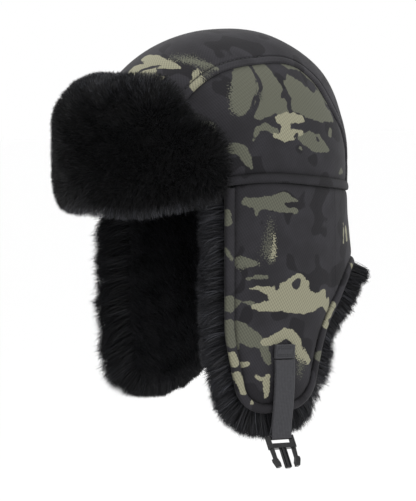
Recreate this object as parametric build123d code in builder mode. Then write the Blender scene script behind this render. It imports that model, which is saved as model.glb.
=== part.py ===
"""Trapper hat: padded crown, turned-up front flap, ear flaps and nape flap with a fur lining, and a chin
strap with a side-release buckle. Millimetres, +Z up, front towards -Y, the wearer's left towards +X.
The origin is the centre of the head opening, 5 mm below the seam where the flaps join the crown."""

from build123d import *
from math import cos, radians, sin
import os

os.makedirs("parts", exist_ok=True)

# Crown: an ellipse in plan, a straight wall, then half an ellipsoid.
HALF_WIDTH = 90.0
HALF_LENGTH = 112.0
CROWN_TOP = 124.0
WALL = 22.0
# Edge of the panel that runs over the top, in plan, from front to back.
LAP_EDGE = (
    (56, -120),
    (57, -75),
    (57.5, -55),
    (59.5, -30),
    (60.5, 3),
    (60, 21),
    (61, 38),
    (64, 54),
    (65, 66),
    (63, 77),
    (56, 92),
    (50, 120),
)
SEAM_HEIGHT = 5.0
SEAM_SLOPE = 0.10  # the crown's lower edge falls this much per millimetre towards the back

# Layers, as distances inwards from the outer cloth.
CLOTH = 2.0
PADDING_IN = 7.0
CROWN_LINING_IN = 9.0
SKIRT_FUR_IN = 15.0
LAYER_GAP = 0.1
FIT_GAP = 0.15  # half the hairline between two pieces that fold apart

# Skirt: ear flaps, rear corners and nape.
FLAP_FRONT = -49.2
CORNER_Y = 60.0
NAPE_X = 42.0
NAPE_HEM = -69.0
# Corners of the hem seen from the side, front to back, each with the radius that rounds it.
HEM_CORNERS = (
    ((FLAP_FRONT, -112.0), 120.0),
    ((-37.0, -175.0), 26.0),
    ((30.0, -175.0), 30.0),
    ((45.5, -120.0), 60.0),
    ((85.6, NAPE_HEM), 30.0),
)
BINDING = 7.0
BINDING_PROUD = 1.2
FRINGE = 18.0
FRONT_FRINGE_TOP = -27.0
WELT = 7.0

# Front flap, turned up against the crown.
FRONT_END = -57.0
FRONT_FUR_OUT = 27.0
FRONT_FUR_TOP = 90.0
FRONT_FUR_BOTTOM = -20.0
FRONT_HALF = 107.0
FRONT_LOW_RADIUS = 22.0
FRONT_TOP_RADIUS = 36.0
FRONT_CORNER_RADIUS = 14.0
FRONT_SHELL_INSET = 9.0
FRONT_CLOTH_FOOT = 12.0
STAND_OFF = 0.6
STIFFENER = 1.2

# Chin straps: webbing folded in half round the buckle's bar.
STRAP_WIDTH = 19.0
STRAP_LAYER = 1.2
STRAP_THICK = 2.6
STRAP_TOP = (91.7, -0.8, -121.0)
LEFT_STRAP_LENGTH = 74.0
LEFT_BAR_OUT = 1.3  # the bar's distance from the strap's inner face
RIGHT_STRAP_LENGTH = 38.0
RIGHT_BAR_OUT = 4.2
LOOP_TAPER = 14.0
SEWN_END = 11.0
STRAP_LEAN = 4.0  # degrees, lower end towards the front
BAR_RADIUS = 1.5
BAR_FIT = 0.08

# Side-release buckle for 20 mm webbing.
BUCKLE_HALF = 12.5
BUCKLE_TILT = 35.0  # degrees, the hanging half swung away from the flap
PLATE_THICK = 4.0
BODY_TOP = -5.0
BODY_ROOT = -9.0
BUCKLE_TIP = -24.5

LENGTH_RATIO = HALF_LENGTH / HALF_WIDTH
DOME_RATIO = (CROWN_TOP - WALL) / HALF_WIDTH
FAR = 300.0
SEAM = Plane(origin=(0, 0, SEAM_HEIGHT), z_dir=(0, SEAM_SLOPE, 1))


def revolved(points_and_arc):
    """Closed half-section in unscaled X and Z, turned about Z and stretched to the crown's ellipse."""
    with BuildPart() as turned:
        with BuildSketch(Plane.XZ):
            with BuildLine():
                points_and_arc()
            make_face()
        revolve(axis=Axis.Z)
    return scale(turned.part, by=(1, LENGTH_RATIO, DOME_RATIO))


def crown_form(inset):
    """The crown's solid form, shrunk inwards by inset all round."""
    radius = HALF_WIDTH - inset
    foot = -60.0 / DOME_RATIO
    spring = WALL / DOME_RATIO

    def outline():
        Line((0, foot), (radius, foot))
        Line((radius, foot), (radius, spring))
        CenterArc((0, spring), radius, 0, 90)
        Line((0, spring + radius), (0, foot))

    return revolved(outline)


def crown_layer(outer, inner):
    """The crown between two insets, cut off at the seam."""
    solid, hollow = crown_form(outer), crown_form(inner)
    with BuildPart() as layer:
        add(solid)
        add(hollow, mode=Mode.SUBTRACT)
        split(bisect_by=SEAM.offset(FIT_GAP), keep=Keep.TOP)
    return layer.part


def skirt_wall(outer, inner):
    """An upright elliptical wall between two insets, below the seam."""
    with BuildPart() as wall:
        with BuildSketch(Plane.XY.offset(-FAR)):
            Ellipse(HALF_WIDTH - outer, HALF_LENGTH - outer)
            Ellipse(HALF_WIDTH - inner, HALF_LENGTH - inner, mode=Mode.SUBTRACT)
        extrude(amount=FAR + 2 * BINDING)
        split(bisect_by=SEAM.offset(-FIT_GAP), keep=Keep.BOTTOM)
    return wall.part


def hem_form(grow):
    """Everything inside the skirt's lower edge seen from the side, grown or shrunk by grow."""
    with BuildPart() as form:
        with BuildSketch(Plane.YZ.offset(-HALF_WIDTH * 2)) as side:
            with BuildLine():
                corners = [corner for corner, radius in HEM_CORNERS]
                Polyline((FLAP_FRONT, FAR), *corners, (FAR, NAPE_HEM), (FAR, FAR), close=True)
            make_face()
            for corner, radius in HEM_CORNERS:
                fillet(side.vertices().sort_by_distance(corner)[0], radius)
            if grow:
                offset(amount=grow, kind=Kind.ARC)
        extrude(amount=HALF_WIDTH * 4)
    return form.part


def block(low, high):
    """A plain box between two corners."""
    center = [(a + b) / 2 for a, b in zip(low, high)]
    size = [b - a for a, b in zip(low, high)]
    with BuildPart() as box:
        with Locations(Vector(*center)):
            Box(*size)
    return box.part


def beyond_x(x):
    """Upright plane that faces the wearer's left."""
    return Plane(origin=(x, 0, 0), z_dir=(1, 0, 0))


def beyond_y(y):
    """Upright plane that faces the back."""
    return Plane(origin=(0, y, 0), z_dir=(0, 1, 0))


FLAP_CUTS = ((beyond_x(0), Keep.TOP), (beyond_y(CORNER_Y - FIT_GAP), Keep.BOTTOM))
CORNER_CUTS = ((beyond_x(NAPE_X + FIT_GAP), Keep.TOP), (beyond_y(CORNER_Y + FIT_GAP), Keep.TOP))
NAPE_CUTS = (
    (beyond_x(-NAPE_X + FIT_GAP), Keep.TOP),
    (beyond_x(NAPE_X - FIT_GAP), Keep.BOTTOM),
    (beyond_y(CORNER_Y), Keep.TOP),
)

SKIRT_LAYERS = {
    "shell": (skirt_wall(0, CLOTH), hem_form(-BINDING - LAYER_GAP), None),
    "padding": (skirt_wall(CLOTH + LAYER_GAP, PADDING_IN), hem_form(-BINDING - LAYER_GAP), None),
    "binding": (skirt_wall(-BINDING_PROUD, PADDING_IN), hem_form(0), hem_form(-BINDING)),
    "fur": (skirt_wall(PADDING_IN + LAYER_GAP, SKIRT_FUR_IN), hem_form(FRINGE), None),
}
ABOVE_FRINGE = block((-FAR, -FAR, FRONT_FRINGE_TOP), (FAR, FLAP_FRONT, FAR))


def skirt_piece(layer, cuts):
    """One layer of one folding stretch of the skirt."""
    wall, inside, hollow = SKIRT_LAYERS[layer]
    with BuildPart() as piece:
        add(wall)
        for plane, side in cuts:
            split(bisect_by=plane, keep=side)
        if layer == "fur":
            add(ABOVE_FRINGE, mode=Mode.SUBTRACT)
        if hollow is not None:
            add(hollow, mode=Mode.SUBTRACT)
        add(inside, mode=Mode.INTERSECT)
    return piece.part


def lap_region(outwards):
    """What lies between the crown's two lapped seams, or outwards of the one on the wearer's left."""
    front, back = LAP_EDGE[0], LAP_EDGE[-1]
    with BuildPart() as region:
        with BuildSketch(Plane.XY.offset(-WALL)):
            with BuildLine():
                edge = Spline(*LAP_EDGE)
                if outwards:
                    Polyline(back, (FAR, back[1]), (FAR, front[1]), front)
                else:
                    mirror(edge, about=Plane.YZ)
                    Line(back, (-back[0], back[1]))
                    Line(front, (-front[0], front[1]))
            make_face()
        extrude(amount=WALL + FAR)
    return region.part


def write(piece, name):
    """Label a finished piece and write its STEP file."""
    piece.label = name
    export_step(piece, f"parts/{name}.step")


# Crown panels: one over the top and one on each side, butted at the two lapped seams.
CENTER_REGION = lap_region(outwards=False)
SIDE_REGION = lap_region(outwards=True)

CROWN_CLOTH = crown_layer(0, CLOTH)
CROWN_WADDING = crown_layer(CLOTH + LAYER_GAP, PADDING_IN)
CROWN_LINING = crown_layer(PADDING_IN + LAYER_GAP, CROWN_LINING_IN)

with BuildPart() as crown_center_panel:
    add(CROWN_CLOTH)
    add(CENTER_REGION, mode=Mode.INTERSECT)

with BuildPart() as crown_side_panel_left:
    add(CROWN_CLOTH)
    add(SIDE_REGION, mode=Mode.INTERSECT)

with BuildPart() as crown_side_panel_right:
    mirror(crown_side_panel_left.part, about=Plane.YZ)

with BuildPart() as crown_wadding:
    add(CROWN_WADDING)

with BuildPart() as crown_lining:
    add(CROWN_LINING)

# Doubled band of cloth along the seam, from one end of the front flap round the back to the other.
BEHIND_FRONT_FLAP = block((-FAR, FLAP_FRONT, -FAR), (FAR, FAR, FAR))

with BuildPart() as crown_welt:
    with BuildSketch(Plane.XY.offset(-WALL)):
        Ellipse(HALF_WIDTH + BINDING_PROUD, HALF_LENGTH + BINDING_PROUD)
        Ellipse(HALF_WIDTH + LAYER_GAP, HALF_LENGTH + LAYER_GAP, mode=Mode.SUBTRACT)
    extrude(amount=2 * WALL)
    split(bisect_by=SEAM.offset(FIT_GAP), keep=Keep.TOP)
    split(bisect_by=SEAM.offset(WELT), keep=Keep.BOTTOM)
    add(BEHIND_FRONT_FLAP, mode=Mode.INTERSECT)


def front_fur_section():
    """Puffy cross-section of the turned-up flap, filled in to the axis."""
    outer = HALF_WIDTH + FRONT_FUR_OUT
    low = FRONT_FUR_BOTTOM / DOME_RATIO
    top = FRONT_FUR_TOP / DOME_RATIO
    Line((0, 0), (HALF_WIDTH + 3, 0))
    Line((HALF_WIDTH + 3, 0), (outer - FRONT_LOW_RADIUS, low))
    CenterArc((outer - FRONT_LOW_RADIUS, low + FRONT_LOW_RADIUS), FRONT_LOW_RADIUS, -90, 90)
    Line((outer, low + FRONT_LOW_RADIUS), (outer, top - FRONT_TOP_RADIUS))
    CenterArc((outer - FRONT_TOP_RADIUS, top - FRONT_TOP_RADIUS), FRONT_TOP_RADIUS, 0, 90)
    Line((outer - FRONT_TOP_RADIUS, top), (0, top))
    Line((0, top), (0, 0))


def front_outline(inset):
    """The turned-up flap seen from the front: high in the middle, low where it ends over the ears."""
    corners = [(66, FRONT_FUR_BOTTOM), (FRONT_HALF, -6), (FRONT_HALF, 44), (84, FRONT_FUR_TOP)]
    with BuildPart() as form:
        with BuildSketch(Plane.XZ) as front:
            with BuildLine():
                Polyline(*corners, *[(-x, z) for x, z in reversed(corners)], close=True)
            make_face()
            fillet(front.vertices(), FRONT_CORNER_RADIUS)
            if inset:
                offset(amount=-inset, kind=Kind.ARC)
        extrude(amount=FAR)
    return form.part


def front_cloth(outer, inner):
    """A thin layer of the front flap, standing off the crown between two distances."""
    solid, hollow, outline = crown_form(-outer), crown_form(-inner), front_outline(FRONT_SHELL_INSET)
    with BuildPart() as layer:
        add(solid)
        add(hollow, mode=Mode.SUBTRACT)
        split(bisect_by=beyond_y(FRONT_END - FRONT_SHELL_INSET), keep=Keep.BOTTOM)
        split(bisect_by=Plane.XY.offset(FRONT_CLOTH_FOOT), keep=Keep.TOP)
        add(outline, mode=Mode.INTERSECT)
    return layer.part


SHELL_OUT = STAND_OFF + CLOTH
STIFFENER_OUT = SHELL_OUT + LAYER_GAP + STIFFENER

FRONT_SHELL = front_cloth(SHELL_OUT, STAND_OFF)
FRONT_STIFFENER = front_cloth(STIFFENER_OUT, SHELL_OUT + LAYER_GAP)
FRONT_FUR_FORM = revolved(front_fur_section)
FRONT_FUR_HOLLOW = crown_form(-STIFFENER_OUT - LAYER_GAP)
FRONT_FUR_OUTLINE = front_outline(0)

with BuildPart() as front_flap_shell:
    add(FRONT_SHELL)

with BuildPart() as front_flap_stiffener:
    add(FRONT_STIFFENER)

with BuildPart() as front_flap_fur:
    add(FRONT_FUR_FORM)
    add(FRONT_FUR_HOLLOW, mode=Mode.SUBTRACT)
    split(bisect_by=beyond_y(FRONT_END), keep=Keep.BOTTOM)
    add(FRONT_FUR_OUTLINE, mode=Mode.INTERSECT)

for piece, name in (
    (crown_center_panel.part, "crown_center_panel"),
    (crown_side_panel_left.part, "crown_side_panel_left"),
    (crown_side_panel_right.part, "crown_side_panel_right"),
    (crown_wadding.part, "crown_wadding"),
    (crown_lining.part, "crown_lining"),
    (crown_welt.part, "crown_welt"),
    (front_flap_shell.part, "front_flap_shell"),
    (front_flap_stiffener.part, "front_flap_stiffener"),
    (front_flap_fur.part, "front_flap_fur"),
):
    write(piece, name)

# The skirt folds in five stretches, each with the same four layers.
for layer in SKIRT_LAYERS:
    for stretch, cuts in (("ear_flap", FLAP_CUTS), ("rear_corner", CORNER_CUTS)):
        left = skirt_piece(layer, cuts)
        with BuildPart() as right:
            mirror(left, about=Plane.YZ)
        write(left, f"{stretch}_{layer}_left")
        write(right.part, f"{stretch}_{layer}_right")
    write(skirt_piece(layer, NAPE_CUTS), f"nape_{layer}")

# Chin straps, drawn on the left. Local X points away from the flap, local Y down the strap and local Z
# across it.
LEAN = radians(STRAP_LEAN)
ACROSS = (0, cos(LEAN), -sin(LEAN))
STRAP_PLANE = Plane(origin=STRAP_TOP, x_dir=(1, 0, 0), z_dir=ACROSS)
LOOP_HOLE = BAR_RADIUS + BAR_FIT
LOOP_OUTER = LOOP_HOLE + STRAP_LAYER


def strap_loop(length, bar_out):
    """The webbing below its sewn end, folded in half round a bar that stands bar_out from the flap."""
    taper = length - LOOP_TAPER
    with BuildPart() as strap:
        with BuildSketch(STRAP_PLANE):
            with Locations((STRAP_THICK / 2, (SEWN_END + taper) / 2)):
                Rectangle(STRAP_THICK, taper - SEWN_END)
            with BuildLine():
                Polyline(
                    (0, taper),
                    (bar_out - LOOP_OUTER, length),
                    (bar_out + LOOP_OUTER, length),
                    (STRAP_THICK, taper),
                    close=True,
                )
            make_face()
            with Locations((bar_out, length)):
                Circle(LOOP_OUTER)
                Circle(LOOP_HOLE, mode=Mode.SUBTRACT)
        extrude(amount=STRAP_WIDTH / 2, both=True)
    return strap.part


with BuildPart() as strap_sewn_end_left:
    with BuildSketch(STRAP_PLANE):
        with Locations((STRAP_THICK / 2, (SEWN_END - FIT_GAP) / 2)):
            Rectangle(STRAP_THICK, SEWN_END - FIT_GAP)
    extrude(amount=STRAP_WIDTH / 2, both=True)

CHIN_STRAP_LEFT = strap_loop(LEFT_STRAP_LENGTH, LEFT_BAR_OUT)
CHIN_STRAP_RIGHT = strap_loop(RIGHT_STRAP_LENGTH, RIGHT_BAR_OUT)

# Buckle halves. Local X runs along the bar, local Y up towards the strap, local Z out of the flat face.
def buckle_plane(length, bar_out, tilt):
    """Frame of a buckle half on a left-hand strap's bar, swung outwards by tilt degrees."""
    bar = STRAP_PLANE.from_local_coords(Vector(bar_out, length, 0))
    down = Vector(0, -sin(LEAN), -cos(LEAN))
    face = Vector(1, 0, 0) * cos(radians(tilt)) - down * sin(radians(tilt))
    return Plane(origin=bar, x_dir=ACROSS, z_dir=face)


def bar_frame(plane):
    """Bar, its two posts and the cross plate that both buckle halves share."""
    post = 2.5
    with BuildPart() as frame:
        with BuildSketch(Plane(origin=plane.origin, x_dir=plane.y_dir, z_dir=plane.x_dir)):
            Circle(BAR_RADIUS)
        extrude(amount=BUCKLE_HALF - post / 2, both=True)
        with BuildSketch(plane):
            with Locations((BUCKLE_HALF - post / 2, BODY_TOP / 2), (-BUCKLE_HALF + post / 2, BODY_TOP / 2)):
                Rectangle(post, -BODY_TOP + 2 * BAR_RADIUS)
            with Locations((0, (BODY_TOP + BODY_ROOT) / 2)):
                Rectangle(2 * BUCKLE_HALF, BODY_TOP - BODY_ROOT)
        extrude(amount=PLATE_THICK / 2, both=True)
    return frame.part


MALE_PLANE = buckle_plane(LEFT_STRAP_LENGTH, LEFT_BAR_OUT, BUCKLE_TILT)
FEMALE_PLANE = buckle_plane(RIGHT_STRAP_LENGTH, RIGHT_BAR_OUT, 0)
GUIDE_WIDTH = 5.2
RIB_GAP = 1.7

MALE_BAR = bar_frame(MALE_PLANE)
FEMALE_BAR = bar_frame(FEMALE_PLANE)

with BuildPart() as male_buckle:
    add(MALE_BAR)
    with BuildSketch(MALE_PLANE):
        with Locations((0, (BODY_ROOT + BUCKLE_TIP) / 2)):
            RectangleRounded(GUIDE_WIDTH, BODY_ROOT - BUCKLE_TIP + 2, 0.9)
    extrude(amount=1.2, both=True)
    with BuildSketch(MALE_PLANE):
        with Locations((RIB_GAP, (BODY_ROOT + BUCKLE_TIP) / 2), (-RIB_GAP, (BODY_ROOT + BUCKLE_TIP) / 2)):
            Rectangle(0.9, BODY_ROOT - BUCKLE_TIP)
    extrude(amount=1.9, both=True)


def latch_arm(side):
    """A springy arm with its arrow head; side is +1 or -1 along the bar."""
    root = BODY_ROOT - FIT_GAP
    with BuildPart() as arm:
        with BuildSketch(MALE_PLANE):
            with BuildLine():
                Polyline(
                    (side * 11.6, root),
                    (side * 11.0, -16.5),
                    (side * 12.6, -17.2),
                    (side * 12.6, -19.5),
                    (side * 10.4, BUCKLE_TIP),
                    (side * 7.4, BUCKLE_TIP),
                    (side * 7.4, -21),
                    (side * 9.2, -17),
                    (side * 9.4, root),
                    close=True,
                )
            make_face()
        extrude(amount=1.7, both=True)
    return arm.part


LATCH_ARMS = {"rear": latch_arm(1), "front": latch_arm(-1)}

HOUSING_TIP = -27.0
HOUSING_HALF_THICK = 3.9
CAVITY_HALF_THICK = 2.5
CAVITY_HALF_WIDTH = 10.6

with BuildPart() as female_half:
    add(FEMALE_BAR)
    with BuildSketch(FEMALE_PLANE):
        with Locations((0, (BODY_TOP + HOUSING_TIP) / 2)):
            RectangleRounded(2 * BUCKLE_HALF, BODY_TOP - HOUSING_TIP, 2.0)
    extrude(amount=HOUSING_HALF_THICK, both=True)
    with BuildSketch(FEMALE_PLANE):
        with Locations((0, (BODY_ROOT + HOUSING_TIP) / 2 - 1)):
            Rectangle(2 * CAVITY_HALF_WIDTH, BODY_ROOT - HOUSING_TIP)
        with Locations((0, -17)):
            Rectangle(4 * BUCKLE_HALF, 6.5)
    extrude(amount=CAVITY_HALF_THICK, both=True, mode=Mode.SUBTRACT)

with BuildPart() as female_buckle:
    mirror(female_half.part, about=Plane.YZ)

with BuildPart() as strap_sewn_end_right:
    mirror(strap_sewn_end_left.part, about=Plane.YZ)

with BuildPart() as chin_strap_right:
    mirror(CHIN_STRAP_RIGHT, about=Plane.YZ)

for piece, name in (
    (strap_sewn_end_left.part, "strap_sewn_end_left"),
    (strap_sewn_end_right.part, "strap_sewn_end_right"),
    (CHIN_STRAP_LEFT, "chin_strap_left"),
    (chin_strap_right.part, "chin_strap_right"),
    (male_buckle.part, "male_buckle"),
    (LATCH_ARMS["front"], "latch_arm_front"),
    (LATCH_ARMS["rear"], "latch_arm_rear"),
    (female_buckle.part, "female_buckle"),
):
    write(piece, name)
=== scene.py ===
"""Looks of the trapper hat: camouflage cloth over padding, black faux fur, webbing and plastic buckles.

Lengths are in millimetres until a mesh is made. +Z is up, the front faces -Y, the wearer's left is +X.
An arc is a distance round the head opening, "out" a distance out of the wall, t an angle over the crown.
"""

import math

import bmesh
import bpy
import numpy as np
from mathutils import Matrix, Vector
from mathutils.geometry import delaunay_2d_cdt


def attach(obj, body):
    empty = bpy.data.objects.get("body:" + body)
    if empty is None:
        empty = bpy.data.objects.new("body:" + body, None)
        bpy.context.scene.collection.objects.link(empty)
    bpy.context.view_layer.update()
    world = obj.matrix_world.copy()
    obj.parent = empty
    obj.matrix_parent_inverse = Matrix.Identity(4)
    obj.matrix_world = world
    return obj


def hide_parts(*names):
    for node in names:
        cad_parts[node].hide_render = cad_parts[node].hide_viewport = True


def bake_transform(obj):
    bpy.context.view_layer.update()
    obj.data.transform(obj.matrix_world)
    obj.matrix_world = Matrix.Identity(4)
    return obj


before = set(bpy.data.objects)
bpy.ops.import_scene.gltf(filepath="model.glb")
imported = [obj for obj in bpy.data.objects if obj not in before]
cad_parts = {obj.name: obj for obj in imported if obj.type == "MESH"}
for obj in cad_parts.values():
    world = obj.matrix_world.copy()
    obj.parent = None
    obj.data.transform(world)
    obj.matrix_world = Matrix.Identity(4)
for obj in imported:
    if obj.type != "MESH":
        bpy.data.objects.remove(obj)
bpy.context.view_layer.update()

MM = 0.001
TURN = 2 * math.pi
SIDES = ("left", "right")
MIRROR = np.array([-1.0, 1.0, 1.0])

# The head opening is an ellipse, with a wall below and a dome above.
HALF_WIDTH = 90.0
HALF_LENGTH = 112.0
WALL_TOP = 22.0
DOME = 102.0

SEAM_SLOPE = 0.10
SEAM_HEIGHT = 5.4
WELT = 7.0
BINDING = 7.0
FLARE = 5.0

FLAP_FRONT = -49.2
CORNER_Y = 60.0
NAPE_X = 42.0
NAPE_HEM = -69.0
# Corners of the hem seen from the side, front to back, each with the radius that rounds it.
HEM_CORNERS = (
    ((FLAP_FRONT, -112.0), 120.0),
    ((-37.0, -175.0), 26.0),
    ((30.0, -175.0), 30.0),
    ((45.5, -120.0), 60.0),
    ((85.6, NAPE_HEM), 30.0),
)
SLIT = 0.12

CLOTH_PITCH = 1.5
NEAREST = 0.62  # of a pitch, between a free point of a mesh and its fixed lines
BACKING_PITCH = 3.0
BACKING_OUT = -6.2
CLOTH_THICK = 1.6
PADDED_THICK = 4.5
LINING_INSET = 9.0
WEAVE_PITCH = 2.2
TAPE_RIB = 1.1

# Fur: strands to a millimetre of edge or a square one of surface, their lengths, and how they gather.
FRINGE_DENSITY = 74
FRINGE_LENGTH = {"left": 21.5, "right": 15.5}
FRINGE_CLUMP = 5.4
FRINGE_WIDTH = 0.40
PILE_DENSITY = 1.7
PILE_LENGTH = 10.0
FRONT_DENSITY = 2.0
FRONT_LENGTH = 9.0
PILE_GATHER = (0.5, 3.2, 0.30)  # pull towards the tuft, size of a tuft, spread of directions

rng = np.random.default_rng(20)


# ---- numbers


def unit(value, most=1):
    """A value held between 0 and 1, or another limit."""
    return np.clip(value, 0, most)


def smooth(share):
    """A share between 0 and 1, eased at both ends."""
    return share * share * (3 - 2 * share)


def bell(value, width):
    """1 at 0, falling off smoothly either way."""
    return np.exp(-((value / width) ** 2))


def fade(value, reach):
    """1 at 0, dying away."""
    return np.exp(-value / reach)


def normed(vectors):
    return vectors / np.linalg.norm(vectors, axis=-1, keepdims=True)


def on_side(points, side):
    """Points of the wearer's left, mirrored where the side is the right."""
    return points * MIRROR if side == "right" else points


def points_of(*parts):
    """Points of a grid from its coordinates, each an array that may span only lines or only points."""
    return np.stack([part.ravel() for part in np.broadcast_arrays(*parts)], -1)


def run_along(line):
    """Distance run along a polyline at each of its points."""
    return np.concatenate([[0], np.cumsum(np.linalg.norm(np.diff(line, axis=0), axis=1))])


def at_run(places, run, values):
    """Values along a polyline, read at given distances."""
    return np.stack([np.interp(places, run, column) for column in values.T], -1)


def spaced(line, pitch):
    """The same polyline with its points about a pitch apart."""
    line = np.asarray(line, dtype=float)
    run = run_along(line)
    count = max(2, int(round(run[-1] / pitch)) + 1)
    return at_run(np.linspace(0, run[-1], count), run, line)


def beside(line):
    """Directions a quarter turn clockwise from a flat polyline."""
    ahead = normed(np.gradient(line, axis=0))
    return np.stack([ahead[:, 1], -ahead[:, 0]], -1)


def ripple(u, v, size, seed):
    """Smooth waves between -1 and 1 over a flat pair of coordinates."""
    draw = np.random.default_rng(seed)
    waves = 7
    total = 0
    for _ in range(waves):
        angle, phase = draw.uniform(0, TURN, 2)
        k = TURN / (size * draw.uniform(0.7, 1.6))
        total = total + np.sin(k * (u * math.cos(angle) + v * math.sin(angle)) + phase)
    return total / waves * 1.6


def flow(points, size, seed):
    """Smooth random directions over space, about one unit long."""
    draw = np.random.default_rng(seed)
    result = np.zeros_like(points)
    for _ in range(6):
        axis = normed(draw.normal(size=3))
        k = TURN / (size * draw.uniform(0.7, 1.5))
        wave = np.sin(k * (points @ axis) + draw.uniform(0, 6.28))
        result += wave[:, None] * draw.normal(size=3)
    return result / 2.4


# ---- surfaces

THETA = np.linspace(-math.pi / 2, 1.5 * math.pi, 4001)
STEP = np.hypot(HALF_WIDTH * np.sin(THETA), HALF_LENGTH * np.cos(THETA))
ARC = np.concatenate([[0], np.cumsum((STEP[1:] + STEP[:-1]) / 2 * np.diff(THETA))])
ARC = ARC - np.interp(0, THETA, ARC)
QUARTER = float(np.interp(math.pi / 2, THETA, ARC))


def arc_of_y(y):
    """Distance round the head opening from the wearer's left, for a point on the left at y."""
    return np.interp(np.arcsin(np.clip(np.asarray(y) / HALF_LENGTH, -1, 1)), THETA, ARC)


def y_of_arc(a):
    return HALF_LENGTH * np.sin(np.interp(a, ARC, THETA))


def rear_share(y):
    """How freely cloth and fur stand away behind: fully at the rear corners, less at the nape's middle."""
    return 1 - 0.6 * unit((y - 98) / 12)


def wall_normal(a):
    """Angle of the ellipse at arc a, and the wall's outward direction there."""
    theta = np.interp(a, ARC, THETA)
    nx, ny = np.cos(theta) / HALF_WIDTH, np.sin(theta) / HALF_LENGTH
    size = np.hypot(nx, ny)
    return theta, nx / size, ny / size


def wall_axes(a):
    """Directions at arc a: round the wall, and straight out of it."""
    _, nx, ny = wall_normal(a)
    return np.stack([-ny, nx, 0 * nx], -1), np.stack([nx, ny, 0 * nx], -1)


def wall_point(a, z, out):
    """Point of the wall at arc a and height z, moved out; the wall flares at the nape's hem."""
    theta, nx, ny = wall_normal(a)
    x, y = HALF_WIDTH * np.cos(theta), HALF_LENGTH * np.sin(theta)
    out = out + FLARE * rear_share(y) * unit((y - 55) / 40) * unit((-24 - z) / 40, 1.3) ** 1.5
    return np.stack([x + out * nx, y + out * ny, z], -1)


def crown_point(x, y, z, up, out):
    """Point of the crown moved out along its normal; `up` is its height on the dome, 0 to 1."""
    normal = normed(np.stack([x / HALF_WIDTH**2, y / HALF_LENGTH**2, up / DOME], -1))
    return np.stack([x, y, z], -1) + normal * np.asarray(out)[..., None]


def side_point(y, z, out):
    """Point of the crown's left side over (y, z)."""
    up = np.maximum(0, z - WALL_TOP) / DOME
    x = HALF_WIDTH * np.sqrt(np.maximum(1e-4, 1 - (y / HALF_LENGTH) ** 2 - up**2))
    return crown_point(x, y, z, up, out)


def over_top(x, t):
    """Where the crown runs at x, with t the angle over the top from front (0) to back (pi)."""
    k = np.sqrt(1 - (x / HALF_WIDTH) ** 2)
    return -HALF_LENGTH * k * np.cos(t), WALL_TOP + DOME * k * np.sin(t), k * np.sin(t)


def top_point(x, t, out):
    """Point of the crown at x and angle t over the top."""
    y, z, up = over_top(x, t)
    return crown_point(x, y, z, up, out)


def seam_height(y):
    """Height of the seam where the flaps join the crown: sloping back, a little higher over the ears."""
    y = np.asarray(y, dtype=float)
    ahead = unit((5 - y) / 52) ** 2 * unit((y + 112) / 50)
    behind = unit((y - 5) / 80, 1.34) ** 2
    return SEAM_HEIGHT - SEAM_SLOPE * y - 6.0 * ahead - 1.8 * behind


# ---- meshes


def grid_faces(lines, points, ring=False):
    """Four-sided faces between neighbouring lines of points; each line may be a ring."""
    return [
        (i + j, i + points + j, i + points + k, i + k)
        for i in range(0, (lines - 1) * points, points)
        for j, k in ((j, (j + 1) % points) for j in range(points if ring else points - 1))
    ]


def tube_faces(rings, points):
    """Faces of a closed tube of rings, with a cap at each end."""
    caps = [tuple(range(points)), tuple(reversed(range((rings - 1) * points, rings * points)))]
    return grid_faces(rings, points, ring=True) + caps


def add_object(name, data):
    item = bpy.data.objects.new(name, data)
    bpy.context.scene.collection.objects.link(item)
    return item


def make_piece(name, verts, faces, material, values=None, sharp=40):
    """Closed mesh object from points in millimetres, with values as point attributes."""
    mesh = bpy.data.meshes.new(name)
    mesh.from_pydata((np.asarray(verts) * MM).tolist(), [], [tuple(map(int, f)) for f in faces])
    shape = bmesh.new()
    shape.from_mesh(mesh)
    bmesh.ops.recalc_face_normals(shape, faces=shape.faces)
    shape.to_mesh(mesh)
    shape.free()
    for key, data in (values or {}).items():
        data = np.asarray(data, dtype=np.float32)
        kind, field = ("FLOAT", "value") if data.ndim == 1 else ("FLOAT_VECTOR", "vector")
        mesh.attributes.new(key, kind, "POINT").data.foreach_set(field, data.ravel())
    return finish_piece(name, mesh, [material], sharp)


def sheet_piece(name, outer, inner, faces, material, values=None):
    """Closed piece of an outer and an inner layer, with a rim between their open edges."""
    count = len(outer)
    edges = dict.fromkeys(edge for face in faces for edge in zip(face, (*face[1:], face[0])))
    rim = [(j, i, i + count, j + count) for i, j in edges if (j, i) not in edges]
    back = [tuple(i + count for i in reversed(face)) for face in faces]
    both = {key: np.concatenate([data, data]) for key, data in (values or {}).items()}
    return make_piece(name, np.concatenate([outer, inner]), [*faces, *back, *rim], material, both)


def finish_piece(name, mesh, materials, sharp=0):
    """Object of a mesh, smooth except over edges sharper than an angle."""
    for material in materials:
        mesh.materials.append(material)
    mesh.polygons.foreach_set("use_smooth", np.ones(len(mesh.polygons), dtype=bool))
    if sharp:
        mesh.set_sharp_from_angle(angle=math.radians(sharp))
    mesh.update()
    return add_object(name, mesh)


def declare(piece, body, slot, *nodes, padded=False):
    """Attaches a piece to the body it rides on and hides the CAD nodes it stands for; the material slot is
    not used.
    """
    if body:
        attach(piece, body)
    if nodes:
        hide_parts(*nodes)


def to_segment(points, p, q):
    """Distance from each point to a segment, and how far along it the nearest place is."""
    d = q - p
    t = unit(((points - p) @ d) / max(1e-9, d @ d))
    return np.linalg.norm(points - p - t[:, None] * d, axis=1), t


def distance(points, line):
    """Distance from each point to a polyline."""
    best = np.full(len(points), 1e9)
    for p, q in zip(line[:-1], line[1:]):
        best = np.minimum(best, to_segment(points, p, q)[0])
    return best


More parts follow.
